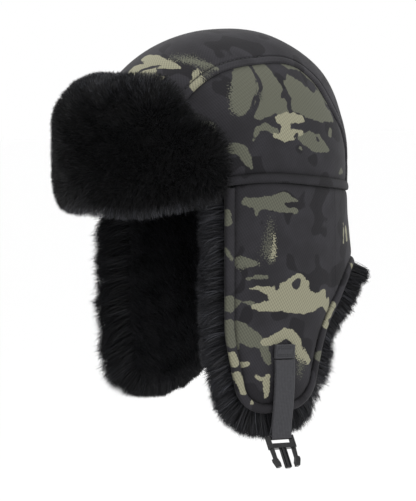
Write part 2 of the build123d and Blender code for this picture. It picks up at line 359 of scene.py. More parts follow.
def inside(points, outline):
    """Which points lie within a closed outline."""
    result = np.zeros(len(points), dtype=bool)
    for p, q in zip(outline, np.roll(outline, -1, axis=0)):
        if p[1] == q[1]:
            continue
        crosses = (p[1] > points[:, 1]) != (q[1] > points[:, 1])
        at = (q[0] - p[0]) * (points[:, 1] - p[1]) / (q[1] - p[1]) + p[0]
        result ^= crosses & (points[:, 0] < at)
    return result


def triangulate(outline, lines, pitch):
    """Even triangles within a closed outline, with edges along the given lines."""
    outline = spaced(np.concatenate([outline, outline[:1]]), pitch)[:-1]
    fixed = [outline] + [spaced(line, pitch) for line in lines]
    low, high = outline.min(0), outline.max(0)
    row = pitch * math.sqrt(3) / 2
    grid = np.array([
        (low[0] + (i + (j % 2) / 2) * pitch, low[1] + j * row)
        for j in range(int((high[1] - low[1]) / row) + 2)
        for i in range(int((high[0] - low[0]) / pitch) + 2)
    ])
    grid = grid[inside(grid, outline)]
    marks = np.concatenate(fixed)
    batch = 500
    gaps = [
        np.linalg.norm(grid[start : start + batch, None] - marks, axis=2).min(1)
        for start in range(0, len(grid), batch)
    ]
    grid = grid[np.concatenate(gaps) > pitch * NEAREST]
    edges, base = [], 0
    for line in fixed:
        edges.extend((base + i, base + i + 1) for i in range(len(line) - 1))
        base += len(line)
    edges.insert(len(outline) - 1, (len(outline) - 1, 0))
    coords = [Vector(c) for c in np.concatenate([marks, grid]).tolist()]
    found = delaunay_2d_cdt(coords, edges, [list(range(len(outline)))], 1, 1e-5)
    return np.array([tuple(v) for v in found[0]]), [tuple(f) for f in found[2]]


# ---- camouflage

# Patches of the print, given in millimetres. Each stroke is a chain of circles: across, up, radius.
# Bare strokes cut patches away, speckle frays their edges, and dust sprays the cloth between them.
CROWN_OLIVE = [
    [(-19, 93, 7), (-26, 79, 9.5), (-32, 69, 8), (-35, 63, 6)],
    [(-5, 95, 8), (-3, 80, 10.5), (-8, 68, 10), (-19, 60, 6)],
    [(0, 62, 5), (8, 66, 5)],
    [(14, 78, 6), (18, 66, 7), (32, 66, 12), (46, 60, 9), (58, 56, 5), (63, 53, 2.5)],
    [(17, 96, 2), (34, 91, 2), (48, 80, 2.4), (60, 68, 3)],
    [(20, 84, 5), (30, 76, 9), (46, 66, 9)],
    [(-27, 39, 1), (-22, 47, 2.2), (-15, 49, 2.6), (-6, 45, 2.5)],
    [(17, 40, 3), (27, 38, 6.5), (36, 35, 7.5), (45, 31, 4), (51, 29, 1.2)],
    [(16, 32, 1.6), (18, 30, 1)],
    [(57, 45, 2.5), (55, 41, 2)],
    [(70, 10, 1.5), (73, 11, 2.4), (77, 10, 1.5)],
    [(-44, 33, 4), (-37, 31, 5), (-33, 25, 4), (-29, 18, 1.5)],
    [(-72, 40, 7), (-60, 48, 6)],
    [(-74, 20, 4), (-66, 26, 5)],
]
CROWN_KHAKI = [
    [(-2, 55, 3.5), (8, 56, 4.2), (20, 54, 3.8)],
    [(4, 54, 4.5), (3, 47, 4.4), (0, 42, 4)],
    [(-8, 42, 1.5), (2, 41, 4.2), (12, 43, 3.2), (18, 44, 2.5)],
    [(-66, 34, 2), (-58, 40, 4)],
]
CROWN_BARE = [
    [(-12, 98, 1.5), (-11, 80, 1.6), (-18, 68, 1.5), (-26, 56, 2)],
    [(5, 96, 2), (9, 80, 1.7), (11, 70, 2.6), (10, 60, 1.8)],
    [(12, 96, 2.4), (22, 89, 3.2), (32, 84, 3.4), (42, 78, 4.4)],
    [(36.5, 38.5, 1.4), (38.5, 36.5, 1.2)],
    [(11, 40.5, 1.2), (14, 42.5, 1.3)],
    [(13, 49, 2.4), (25, 49, 2.4)],
]
CROWN_SPECKLE = [[(-43, 58, 5), (-40, 80, 4)], [(-14, 72, 2)]]

SKIRT_OLIVE = [
    [(-33, -10, 3), (-22, -12, 5), (-10, -12, 5.5), (0, -8, 4.8), (5, -9, 3), (14, -11.5, 0.6)],
    [(-10, -14, 4), (0, -17, 3), (6, -17, 2.6), (12, -19, 2.6)],
    [(-24, -14, 4), (-24, -20, 1)],
    [(-42, -56, 3.5), (-36, -57, 5), (-28, -58, 3), (-22, -59, 0.8)],
    [(-31, -69.6, 1.1), (-24, -68.6, 1.5), (-15, -69.2, 1.2)],
    [(-10, -47, 1.5), (-11, -55, 3)],
    [(-44, -91, 3), (-37, -86.5, 1.8), (-29, -89, 1.8), (-25, -92, 2)],
    [(-39, -108, 6), (-33, -114, 7.5), (-25, -119, 6.5), (-18, -125, 5), (-15, -131, 4), (-13, -137, 2)],
    [(-42, -114, 5), (-41, -123, 3.5)],
]
SKIRT_KHAKI = [
    [(-9, -38, 0.6), (-8.5, -46, 1.2), (-9, -53, 2.4)],
    [(-31, -77.5, 1), (-20, -78, 2), (-12, -81, 4)],
    [(-9, -83, 6), (0, -82, 8), (12, -84, 10), (24, -88, 8), (34, -92, 6), (46, -91, 6.5), (53, -99, 4.5)],
    [(-27, -92, 1.6), (-17, -92, 4), (-4, -92, 4.4), (10, -94, 5.5), (22, -96, 5.5), (34, -97, 3.5)],
    [(7, -74, 3), (16, -71, 3), (23, -78, 4)],
    [(-17, -120, 3), (-8, -119, 4), (2, -115, 4.4), (9, -117, 4.4), (15, -123, 4)],
    [(14, -125, 4), (17, -131, 5), (23, -136, 4), (27, -140, 2.4)],
    [(-38, -137.5, 2.5), (-31, -136.5, 2)],
    [(-24, -147, 1.8), (-19, -149, 1.6), (-13, -148, 2.2)],
    [(-15, -151, 3.2), (-14.5, -158, 2.8), (-15, -163, 1.8)],
    [(81, -34, 0.9), (80, -50, 0.9)],
    [(87, -38, 2), (89, -47, 2.6)],
]
SKIRT_BARE = [
    [(4, -14, 1.9), (13, -14.5, 1.4)],
    [(12.5, -77.5, 3.6), (14.5, -75.5, 3.6)],
    [(-6, -74, 2.4), (-6, -78, 2.6)],
    [(-40, -82, 4), (-30, -83.5, 4), (-23, -85, 4)],
    [(30, -81, 2.6), (36, -80, 3)],
    [(53, -84, 4), (51, -90, 2)],
    [(-36, -131, 3.4), (-26, -129.5, 6), (-21, -136, 4)],
]
SKIRT_SPECKLE = [
    [(-12, -27, 5), (-14, -40, 8), (-15, -52, 9)],
    [(17, -133, 5), (18, -141, 6), (17, -149, 5)],
    [(-38, -59, 5)],
]
SKIRT_DUST = [
    [(-12, -27, 3.2), (-13, -40, 5.4), (-14, -49, 7)],
    [(17, -133, 4.5), (18, -141, 5.5), (17, -148, 4)],
]

NAPE_OLIVE = [
    [(-34, -18, 6), (-22, -24, 8), (-12, -20, 4)],
    [(18, -48, 7), (30, -44, 9), (44, -52, 5)],
    [(-58, -40, 4), (-46, -50, 7), (-34, -60, 5)],
]
NAPE_KHAKI = [[(4, -12, 3), (16, -16, 7), (30, -14, 5)], [(-14, -46, 4), (-4, -52, 6), (6, -60, 4)]]

CENTER_OLIVE = [
    [(36, -66, 3), (46, -60, 3.4), (55, -54, 2.5)],
    [(-34, -72, 6), (-44, -54, 8), (-50, -34, 5)],
    [(24, 92, 6), (36, 102, 8), (22, 120, 7)],
    [(-46, 60, 6), (-38, 82, 8), (-26, 96, 4)],
    [(-14, -34, 5), (-26, -14, 7), (-22, 8, 4)],
    [(10, 160, 8), (30, 156, 6)],
]
CENTER_KHAKI = [
    [(1, -75, 4), (12, -77, 6.5), (22, -79, 6.5), (32, -77, 4.5), (39, -75.5, 1.6)],
    [(4, -90, 7), (18, -94, 9), (30, -92, 6)],
    [(50, -70, 2.5), (55, -78, 4.4), (57, -86, 4)],
    [(-20, 62, 5), (-6, 68, 7), (8, 64, 4)],
    [(-12, 134, 6), (6, 138, 7), (16, 130, 4)],
]
CENTER_BARE = [
    [(-5, -86, 1), (0, -80, 1.3)],
    [(11, -91, 1.4), (17, -86, 2), (25, -80.5, 0.9)],
    [(12, -99, 5), (24, -100, 5)],
    [(30, -86, 4), (38, -84, 4)],
]
CENTER_SPECKLE = [[(30, -66, 6), (44, -60, 7), (54, -62, 6), (57, -78, 3)]]
CENTER_DUST = [[(28, -68, 5), (40, -62, 7), (52, -60, 6), (55, -68, 4)]]

BINDING_OLIVE = [
    [(-48, -19, 3.4), (-48, -25, 4)],
    [(-49, -47, 1.4), (-44, -54, 1.6)],
    [(-46, -86, 4), (-46, -92, 4)],
    [(-46, -105, 4), (-45, -118, 5)],
    [(40, -137, 4.5)],
]
BINDING_KHAKI = [
    [(-44, -129, 3.4), (-42, -135, 3.4)],
    [(-40, -145, 3.4), (-34, -156, 4)],
    [(-28, -167, 2)],
    [(58, -98, 5), (53, -105, 3.6)],
    [(49, -113, 3.6)],
    [(96, -72, 4)],
]


def stroke_field(points, strokes):
    """Signed distance to a set of strokes, negative within them."""
    best = np.full(len(points), 60.0)
    for stroke in strokes:
        chain = np.array(stroke if len(stroke) > 1 else stroke * 2, dtype=float)
        for p, q in zip(chain[:-1], chain[1:]):
            gap, t = to_segment(points, p[:2], q[:2])
            best = np.minimum(best, gap - (p[2] + (q[2] - p[2]) * t))
    return best


def camo(points, olive, khaki, bare=(), speckle=(), dust=(), edge=0.0):
    """Point attributes for the camouflage at flat places; edge is above 0 where worn and below 0 where shade
    is painted into seams and grooves.
    """
    clear = -stroke_field(points, bare)
    return {
        "olive": np.maximum(stroke_field(points, olive), clear),
        "khaki": np.maximum(stroke_field(points, khaki), clear),
        "speckle": unit(1 - stroke_field(points, speckle) / 3),
        "dust": stroke_field(points, dust),
        "cloth": np.pad(points, ((0, 0), (0, 1))),
        "edge": np.broadcast_to(edge, len(points)),
    }


def skirt_camo(a, z, side, edge):
    """The skirt's pattern: the wearer's left, the right turned about, and the nape between them."""
    if side == "right":
        points, behind = np.stack([8 - a, -16 + 0.9 * (z + 10)], -1), QUARTER - a
    else:
        points, behind = np.stack([a + 1.5, z - 2.2], -1), a - QUARTER
    values = camo(points, SKIRT_OLIVE, SKIRT_KHAKI, SKIRT_BARE, SKIRT_SPECKLE, SKIRT_DUST, edge)
    for key, strokes in (("olive", NAPE_OLIVE), ("khaki", NAPE_KHAKI)):
        values[key] = np.minimum(values[key], stroke_field(np.stack([behind, z], -1), strokes))
    return values


# ---- materials


class Graph:
    """A material's node tree, with short names for what is built in it."""

    def __init__(self, name):
        self.material = bpy.data.materials.new(name)
        self.material.use_nodes = True
        self.tree = self.material.node_tree
        self.shader = self.tree.nodes["Principled BSDF"]

    def link(self, value, socket):
        if isinstance(value, bpy.types.NodeSocket):
            self.tree.links.new(value, socket)
        elif value is not None:
            socket.default_value = value

    def feed(self, node, inputs):
        for key, value in inputs.items():
            self.link(value, node.inputs[key.replace("_", " ")])

    def node(self, kind, props=None, **inputs):
        node = self.tree.nodes.new("ShaderNode" + kind)
        for key, value in (props or {}).items():
            setattr(node, key, value)
        self.feed(node, inputs)
        return node

    def ordered(self, kind, props, values, places=range(5)):
        """A node whose inputs are told by their places."""
        node = self.node(kind, props)
        for value, place in zip(values, places):
            self.link(value, node.inputs[place])
        return node.outputs

    def math(self, operation, *values):
        return self.ordered("Math", {"operation": operation}, values)[0]

    def plus(self, first, second):
        return self.math("ADD", first, second)

    def times(self, first, second):
        return self.math("MULTIPLY", first, second)

    def sine(self, value, pitch=1.0):
        return self.math("SINE", self.times(value, TURN / pitch))

    def ramp(self, value, low, high, start=0.0, end=1.0):
        """A value eased from start to end as it runs from low to high."""
        props = {"interpolation_type": "SMOOTHSTEP"}
        return self.ordered("MapRange", props, (value, low, high, start, end))[0]

    def mix(self, factor, first, second, blend="MIX"):
        props = {"data_type": "RGBA", "blend_type": blend}
        return self.ordered("Mix", props, (factor, first, second), (0, 6, 7))[2]

    def attribute(self, name, output="Fac"):
        return self.node("Attribute", {"attribute_name": name}).outputs[output]

    def here(self):
        """The shaded place in the piece's own metres."""
        return self.node("TexCoord").outputs["Object"]

    def split(self, place):
        """The first two parts of a place."""
        return self.node("SeparateXYZ", Vector=place).outputs[:2]

    def noise(self, place, scale, detail=2.0):
        return self.node("TexNoise", Vector=place, Scale=scale, Detail=detail).outputs["Fac"]

    def bump(self, height, strength, reach, normal=None):
        node = self.node("Bump", Height=height, Strength=strength, Distance=reach, Normal=normal)
        return node.outputs[0]

    def surface(self, tone, rough, **inputs):
        """Feeds the shader and hands the material back."""
        self.feed(self.shader, dict(inputs, Base_Color=tone, Roughness=rough))
        return self.material


def colour(red, green, blue):
    """Linear colour from display values out of 255."""
    display = (red / 255, green / 255, blue / 255)
    return tuple(((c + 0.055) / 1.055) ** 2.4 if c > 0.04 else c / 12.92 for c in display) + (1,)


def dimmed(tone, share):
    return tuple(c * share for c in tone[:3]) + (1,)


def twill(g, place, pitch):
    """Height of a fine diagonal weave, 0 to 1."""
    across, up = g.split(place)
    ribs = g.sine(g.plus(across, g.times(up, 0.6)), pitch)
    dots = g.sine(g.plus(up, g.times(across, -0.55)), pitch / 0.8)
    return g.plus(g.plus(g.times(ribs, 0.32), g.times(dots, 0.18)), 0.5)


def camo_material(name):
    """Printed camouflage twill. The attributes hold distances to the patches in millimetres."""
    g = Graph(name)
    place = g.attribute("cloth", "Vector")
    scales = ((0.16, 2.0), (0.9, 2.0), (0.85, 1.0))
    coarse, fine, grain = (g.plus(g.noise(place, scale, detail), -0.5) for scale, detail in scales)
    wander = g.plus(g.times(coarse, 4.2), g.times(fine, 1.6))
    shift = g.plus(wander, g.times(g.times(grain, g.attribute("speckle")), 14.0))
    olive, khaki = (g.ramp(g.plus(g.attribute(key), shift), 0.28, -0.28) for key in ("olive", "khaki"))
    dust = g.ramp(g.plus(g.attribute("dust"), g.times(grain, 26.0)), -2.2, -3.0)
    darker = g.ramp(g.plus(g.noise(place, 0.034, 1.2), g.times(fine, 0.03)), 0.56, 0.575)
    weave = twill(g, place, WEAVE_PITCH)
    base = g.mix(g.ramp(g.noise(place, 0.03, 3.0), 0.3, 0.7), colour(38, 37, 40), colour(48, 47, 51))
    base = g.mix(darker, base, colour(32, 31, 34))
    base = g.mix(g.math("MAXIMUM", olive, g.times(dust, 0.6)), base, colour(90, 91, 80))
    base = g.mix(khaki, base, colour(137, 135, 115))
    # The weave darkens the colour where it lies low: partly the yarn's own pattern, partly painted shade in
    # its hollows.
    base = g.mix(1.0, base, g.ramp(weave, 0.15, 0.85, 0.74, 1.06), "MULTIPLY")
    # edge above 0 is real wear, mixed lighter; edge below 0 is painted shade, mixed towards near black in
    # seams and grooves.
    edge = g.attribute("edge")
    worn, crease_shade = (g.math("MAXIMUM", side, 0.0) for side in (edge, g.times(edge, -1.0)))
    base = g.mix(g.times(worn, 0.12), base, colour(84, 83, 84))
    base = g.mix(g.times(crease_shade, 0.8), base, colour(9, 9, 10))
    soft = g.bump(g.noise(place, 0.35, 3.0), 0.25, 0.0006)
    return g.surface(
        base,
        g.ramp(weave, 0, 1, 0.72, 0.86),
        Normal=g.bump(weave, 0.35, 0.00022, soft),
        Specular_IOR_Level=0.14,
        Sheen_Weight=0.05,
        Sheen_Roughness=0.45,
    )


def fur_material(name, tone, sheen):
    """One shade of fur strand, the same all along."""
    tint = colour(150, 156, 165)
    return Graph(name).surface(
        tone, 0.62, Specular_IOR_Level=0.3, Sheen_Weight=sheen, Sheen_Roughness=0.5, Sheen_Tint=tint
    )


def backing_material(name, tone):
    """Dark knitted backing that shows between the strands."""
    g = Graph(name)
    mottle = g.noise(g.here(), 260.0, 3.0)
    base, rough = g.mix(mottle, dimmed(tone, 0.5), tone), g.ramp(mottle, 0, 1, 0.85, 1.0)
    return g.surface(base, rough, Normal=g.bump(mottle, 0.6, 0.001), Specular_IOR_Level=0.1)


def webbing_material(name):
    """Woven polyester tape; the cloth attribute runs across and down the tape."""
    g = Graph(name)
    place = g.attribute("cloth", "Vector")
    across, along = g.split(place)
    rows = g.times(along, TURN / TAPE_RIB)
    columns = g.math("ABSOLUTE", g.sine(across, 3.0))
    zig = g.math("SINE", g.plus(rows, g.times(columns, 2.6)))
    height = g.plus(g.times(g.plus(g.math("SINE", rows), zig), 0.15), g.times(columns, 0.5))
    base = g.mix(g.noise(place, 0.35, 3.0), colour(44, 44, 47), colour(62, 62, 66))
    # The weave darkens the colour where it lies low: partly the yarn's own pattern, partly painted shade in
    # its hollows.
    base = g.mix(1.0, base, g.ramp(height, -0.1, 0.7, 0.6, 1.12), "MULTIPLY")
    rough, normal = g.ramp(height, 0, 1, 0.55, 0.75), g.bump(height, 0.5, 0.0003)
    return g.surface(base, rough, Normal=normal, Specular_IOR_Level=0.24, Sheen_Weight=0.08)


def thread_material(name, tone):
    """Twisted sewing thread."""
    g = Graph(name)
    return g.surface(g.mix(g.noise(g.here(), 900.0, 1.0), dimmed(tone, 0.7), tone), 0.6)


def plastic_material(name):
    """Moulded acetal with a fine matt grain and lighter rubbed places."""
    g = Graph(name)
    place = g.here()
    cloud = g.noise(place, 60.0, 3.0)
    base, rough = g.mix(cloud, colour(11, 11, 12), colour(19, 19, 21)), g.ramp(cloud, 0.3, 0.7, 0.20, 0.34)
    grain = g.bump(g.noise(place, 2400.0), 0.2, 0.0001)
    return g.surface(base, rough, Normal=grain, Specular_IOR_Level=0.26)


def lining_material(name):
    """Satin lining; the quilting is in the mesh."""
    g = Graph(name)
    place = g.attribute("cloth", "Vector")
    mottle = g.noise(place, 0.08, 3.0)
    base, rough = g.mix(mottle, colour(26, 26, 29), colour(40, 40, 44)), g.ramp(mottle, 0.3, 0.7, 0.38, 0.52)
    grain = g.bump(g.noise(place, 1.4), 0.25, 0.0003)
    return g.surface(base, rough, Normal=grain, Specular_IOR_Level=0.45, Sheen_Weight=0.2)


CAMO = camo_material("camouflage_twill")
BACKING = backing_material("fur_backing", colour(14, 14, 15))
# The lighter shades are partly the fur's own mixed strands and partly painted highlight, where more of them
# are put on lit places.
FUR = [
    fur_material("fur_black", colour(12, 12, 13), 0.03),
    fur_material("fur_soft_black", colour(22, 22, 24), 0.05),
    fur_material("fur_grey_black", colour(42, 42, 46), 0.10),
    fur_material("fur_grey", colour(66, 67, 73), 0.15),
]
WEBBING = webbing_material("webbing_tape")
THREAD = thread_material("black_thread", colour(34, 34, 37))
PLASTIC = plastic_material("moulded_plastic")
LINING = lining_material("quilted_satin")

# ---- camera, light and floor, in metres

AZIMUTH, ELEVATION = math.radians(56), math.radians(6)
REACH = 1.4
RIGHT = Vector((math.cos(AZIMUTH), math.sin(AZIMUTH), 0))
AHEAD = Vector((math.sin(AZIMUTH), -math.cos(AZIMUTH), 0))
BACK = AHEAD * math.cos(ELEVATION) + Vector((0, 0, math.sin(ELEVATION)))
AIM = RIGHT * -0.009 + BACK.cross(RIGHT) * -0.055


def aimed(name, data, place, direction):
    """A camera or lamp at a place, turned to face a direction."""
    item = add_object(name, data)
    item.location = place
    item.rotation_mode = "QUATERNION"
    item.rotation_quaternion = direction.to_track_quat("-Z", "Y")
    return item


eye = bpy.data.cameras.new("camera")
eye.lens = 122.7
eye.clip_end = 60
bpy.context.scene.camera = aimed("camera", eye, AIM + BACK * REACH, -BACK)

HEART = Vector((0, 0, -0.03))
for name, place, size, power in (
    ("key", (1.7, 0.9, 1.2), 1.0, 12),
    ("fill", (0.9, -2.0, 0.8), 1.4, 6),
    ("rim", (-1.5, -1.1, 0.7), 1.0, 22),
    ("top", (0.0, 0.1, 1.9), 1.4, 10),
):
    lamp = bpy.data.lights.new(name, "AREA")
    lamp.size, lamp.energy = size, power
    aimed(name, lamp, place, HEART - Vector(place))

world = bpy.data.worlds.new("studio")
world.use_nodes = True
for socket, value in zip(world.node_tree.nodes["Background"].inputs, ((1, 1, 1, 1), 1.0)):
    socket.default_value = value
bpy.context.scene.world = world
bpy.context.scene.view_settings.view_transform = "Standard"

FLOOR_DEPTH = -1.3
FLOOR_HALF = 30.0
floor_mesh = bpy.data.meshes.new("floor")
corners = [(x * FLOOR_HALF, y * FLOOR_HALF, FLOOR_DEPTH) for x, y in ((-1, -1), (1, -1), (1, 1), (-1, 1))]
floor_mesh.from_pydata(corners, [], [(0, 1, 2, 3)])
floor_mesh.materials.append(Graph("pale_floor").surface((0.995, 0.995, 0.995, 1), 0.9))
add_object("floor", floor_mesh)

# ---- crown

# Half widths of the panel over the top, by degrees from its front foot (0) to its back one (180).
LAP_DEGREES = np.arange(-20, 201, 1.0)
LAP_WIDTHS = np.interp(
    LAP_DEGREES,
    [0, 35, 50, 62, 72, 82, 92, 105, 114, 124, 134, 145, 155, 168, 180],
    [55.4, 56.4, 57, 58, 59.4, 60.4, 60, 58.4, 59.6, 62, 64.4, 65, 63.6, 58, 54],
)
EASE_REACH = 24
EASE = bell(np.arange(-EASE_REACH, EASE_REACH + 1), 6.0)
LAP_WIDTHS = np.convolve(np.pad(LAP_WIDTHS, EASE_REACH, mode="edge"), EASE / EASE.sum(), mode="valid")

EDGE_X = 57.6  # half width of the top panel before it is stretched to the seam
LAP_OVER = 0.6
GROOVE = 6.8  # from the top panel's folded edge to the groove its topstitching pulls
TOPSTITCH_X = 52.6


def lap_half(t):
    """Half the width of the panel over the top, at angle t over the crown."""
    return np.interp(np.degrees(t), LAP_DEGREES, LAP_WIDTHS)


def seam_curve(inward):
    """The lapped seam seen from the side: up, over the crown and down, moved inward in x."""
    t = np.linspace(0, math.pi, 110)
    y, z, _ = over_top(lap_half(t) - inward, t)
    return np.array([(y[0], seam_height(y[0])), *zip(y, z), (y[-1], seam_height(y[-1]))])


def fullness(y, z):
    """How far the padded crown swells above the CAD's dome, behind its top."""
    return 3.6 * smooth(unit((y + 8) / 48)) * smooth(unit((z - 52) / 42))


def panel_piece(name, flat, faces, place, side, lift, thickness, values):
    """A cloth panel lifted off a surface, closed on its inner side."""
    layers = (on_side(place(*flat.T, out), side) for out in (lift, lift - thickness))
    return sheet_piece(name, *layers, faces, CAMO, values)


def crown_side(side):
    seam = seam_curve(0.0)
    flat, faces = triangulate(seam_curve(3.0), [seam], CLOTH_PITCH)
    y, z = flat.T
    to_seam = distance(flat, seam[::2])
    base = z - seam_height(y)
    to_welt = np.maximum(0, base - WELT)
    lift = -0.9 * fade(to_seam, 3.5) - 0.9 * fade(to_welt, 4.0)
    lift += 0.45 * ripple(y, z, 55, 3) * unit(base / 25) * unit(to_seam / 15)
    lift += 0.16 * ripple(y, z, 13, 4) * fade(to_seam, 9) + 0.22 * ripple(y, z, 17, 5) * fade(base, 16)
    lift = np.where(inside(flat, seam), lift, -1.0) + fullness(y, z)
    pattern = flat if side == "left" else np.stack([6 - y, z * 0.92 + 4], -1)
    # Painted shade along the lapped seam and along the lower edge beside the welt.
    edge = -0.9 * fade(to_seam, 1.5) - 0.8 * fade(to_welt, 1.6)
    values = camo(pattern, CROWN_OLIVE, CROWN_KHAKI, CROWN_BARE, CROWN_SPECKLE, edge=edge)
    piece = panel_piece(f"crown_side_{side}", flat, faces, side_point, side, lift, CLOTH_THICK, values)
    declare(piece, "crown", "camouflage_shell", f"crown_side_panel_{side}", padded=True)


def crown_center():
    """The panel over the top, its folded edges lapped over the side panels."""
    fold = [49.6, 50.8, 51.6, 52.1, 52.5, 52.9, 53.4, 54.2, 55.2, 56.2, 57.0, 57.45, EDGE_X]
    half = np.array([*np.arange(2.4, 49, 2.2), *fold])
    across = np.concatenate([-half[::-1], [0], half])[:, None]
    front, top, back = 6, 150, 16
    t = np.concatenate([np.zeros(front), np.linspace(0, math.pi, top), np.full(back, math.pi)])
    lowered = np.concatenate([1 - np.arange(front) / front, np.zeros(top), np.arange(1, back + 1) / back])
    x = across * (lap_half(t) + LAP_OVER) / EDGE_X
    foot, heel = (seam_height(over_top(x[:, [end]], t[end])[0]) + 0.3 for end in (0, -1))
    drop = lowered * (WALL_TOP - np.where(t < 1, foot, heel))
    angles = np.linspace(0, math.pi, 400)
    run = run_along(np.stack([HALF_LENGTH * np.cos(angles), DOME * np.sin(angles)], -1))
    along = np.interp(t, angles, run) - run[-1] / 2 + np.where(t < 1, -drop, drop)
    to_fold = (EDGE_X - np.abs(across)) / 0.72
    x, t, drop, along, to_fold = points_of(x, t, drop, along, to_fold).T

    # A raised hem, a stitched groove beside it and a rolled outer edge, then calm padding.
    lift = 0.75 + 0.35 * bell(to_fold - 3.0, 2.2) - 0.75 * bell(to_fold - GROOVE, 0.75)
    lift -= 1.05 * bell(to_fold, 0.55)
    lift += 0.10 * ripple(x, along, 8, 11) * bell(to_fold - 4, 4)
    lift += (0.5 * ripple(x, along, 70, 12) + 0.4) * unit((to_fold - 9) / 20)
    lift += 0.18 * ripple(x, along, 22, 13) * fade(np.maximum(0, to_fold - 7), 14)
    lift += fullness(*over_top(x, t)[:2])
    outer, inner = (top_point(x, t, out) for out in (lift, lift - 1.5))
    for layer in (outer, inner):
        layer[:, 2] -= drop
    # Lighter wear along the folded edge; painted shade in the stitched groove.
    edge = 0.8 * bell(to_fold - 1.2, 1.2) - 0.7 * bell(to_fold - GROOVE, 0.9)
    flat = points_of(x, along)
    values = camo(flat, CENTER_OLIVE, CENTER_KHAKI, CENTER_BARE, CENTER_SPECKLE, CENTER_DUST, edge)
    piece = sheet_piece("crown_center", outer, inner, grid_faces(len(across), len(lowered)), CAMO, values)
    declare(piece, "crown", "camouflage_shell", "crown_center_panel", "crown_wadding", padded=True)


def stitches(name, line, normals, body, slot, length=3.0, gap=1.0, thick=0.32):
    """Short raised stitches along a line of points, each a low rounded bar."""
    run = run_along(line)
    starts = np.arange(0.5, run[-1] - length, length + gap)
    at = (starts[:, None] + np.array([0.0, 0.12, 0.5, 0.88, 1.0]) * length).ravel()
    reach = thick * np.tile([0.25, 0.85, 1.0, 0.85, 0.25], len(starts))[:, None]
    rings, sides, sink = 5, 6, 0.05
    turn = np.arange(sides)[:, None] * TURN / sides
    middle, up = at_run(at, run, line), normed(at_run(at, run, normals))
    wide = np.cross(normed(at_run(at + 0.05, run, line) - middle), up)
    middle = middle + up * (reach * 0.5 - sink)
    wide, up = wide * reach, up * reach
    verts = middle[:, None] + wide[:, None] * np.cos(turn) + up[:, None] * np.sin(turn)
    bases = range(0, verts.shape[0] * sides, rings * sides)
    faces = [tuple(base + i for i in face) for base in bases for face in tube_faces(rings, sides)]
    declare(make_piece(name, verts.reshape(-1, 3), faces, THREAD, sharp=0), body, slot)


def crown_lining():
    """Quilted lining inside the crown, sewn in diamonds."""
    inset, rows, columns = LINING_INSET, 64, 220
    below, height = 22, 190
    theta, part = np.linspace(0, TURN, columns, endpoint=False), np.linspace(0, 1, rows)[:, None]
    phi = np.radians(110.5 * part - below)
    c = np.cos(np.maximum(0, phi))
    x, y = (HALF_WIDTH - inset) * np.cos(theta) * c, (HALF_LENGTH - inset * 1.1) * np.sin(theta) * c
    u, v = theta * 100, part * height
    diamonds = np.sin((u * 0.72 + v) * math.pi / 34) * np.sin((u * 0.72 - v) * math.pi / 34)
    k = 1 - 2.6 * np.abs(diamonds) ** 0.6 * np.minimum(1, 2.2 * c) / 95
    wall, dome = phi / math.radians(below) * (WALL_TOP - 1 + 0.1 * y), (DOME - inset) * np.sin(phi) * k
    outer = points_of(x * k, y * k, WALL_TOP + np.where(phi > 0, dome, wall))
    outer = np.concatenate([outer, [(0, 0, WALL_TOP + DOME - inset)]])
    values = {"cloth": np.concatenate([points_of(u, v, 0.0), [(0, height, 0)]])}
    last = len(outer) - 1
    ring = range(last - columns, last)
    faces = grid_faces(rows, columns, ring=True) + [(j, i, last) for i, j in zip(ring, (*ring[1:], ring[0]))]
    inner = (outer - (0, 0, WALL_TOP)) / (0.985, 0.988, 0.99) + (0, 0, WALL_TOP)
    inner[:, 2] = np.where(outer[:, 2] < WALL_TOP, outer[:, 2], inner[:, 2])
    piece = sheet_piece("crown_quilted_lining", outer, inner, faces, LINING, values)
    declare(piece, "crown", "quilted_lining", "crown_lining", padded=True)


for side in SIDES:
    crown_side(side)
crown_center()

for side in SIDES:
    t = np.linspace(math.radians(2), math.radians(178), 260)
    x = (lap_half(t) + LAP_OVER) * TOPSTITCH_X / EDGE_X
    line, above = (on_side(top_point(x, t, np.full_like(t, out)), side) for out in (0.2, 1.2))
    stitches(f"crown_topstitch_{side}", line, above - line, "crown", "camouflage_shell")

# The welt's section: height over the seam, distance out, and its edge value, all below 0: painted shade,
# deepest at its top and bottom edges.
WELT_SECTION = (
    (0.25, -0.6, -1.2),
    (0.0, 0.5, -1.0),
    (0.2, 1.25, -0.6),
    (1.0, 1.75, -0.3),
    (2.6, 1.95, -0.1),
    (4.4, 1.75, -0.2),
    (5.8, 1.35, -0.4),
    (6.8, 0.75, -0.8),
    (7.3, 0.0, -1.2),
    (7.2, -1.0, -1.2),
)


def crown_welt():
    """The padded band over the seam, from one side of the front flap round the back to the other."""
    start = float(arc_of_y(-49))
    arcs = np.linspace(start, 2 * QUARTER - start, 420)[:, None]
    up, out, edge = np.array(WELT_SECTION).T
    verts = wall_point(arcs, seam_height(y_of_arc(arcs)) + up, out).reshape(-1, 3)
    values = camo(points_of(arcs, up - 4), NAPE_OLIVE, BINDING_KHAKI, edge=np.tile(edge, len(arcs)))
    welt = make_piece("crown_welt_band", verts, tube_faces(len(arcs), len(up)), CAMO, values)
    declare(welt, "crown", "camouflage_shell", "crown_welt")


crown_welt()
crown_lining()

# ---- fur

FUR_LEVELS = (0.0, 0.38, 0.74, 1.0)


def sample_surface(verts, faces, density):
    """Random points spread evenly over faces, and a function that reads any corner values there."""
    tris = np.array([(f[0], f[i], f[i + 1]) for f in faces for i in range(1, len(f) - 1)])
    a, b, c = verts[tris[:, 0]], verts[tris[:, 1]], verts[tris[:, 2]]
    area = np.linalg.norm(np.cross(b - a, c - a), axis=1) / 2
    count = int(area.sum() * density)
    pick = rng.choice(len(tris), count, p=area / area.sum())
    u, v = rng.random((2, count, 1))
    over = u + v > 1
    u, v = np.where(over, 1 - u, u), np.where(over, 1 - v, v)

    def read(values):
        first, second, third = (values[tris[pick, i]] for i in range(3))
        return first + u * (second - first) + v * (third - first)

    return read(verts), read


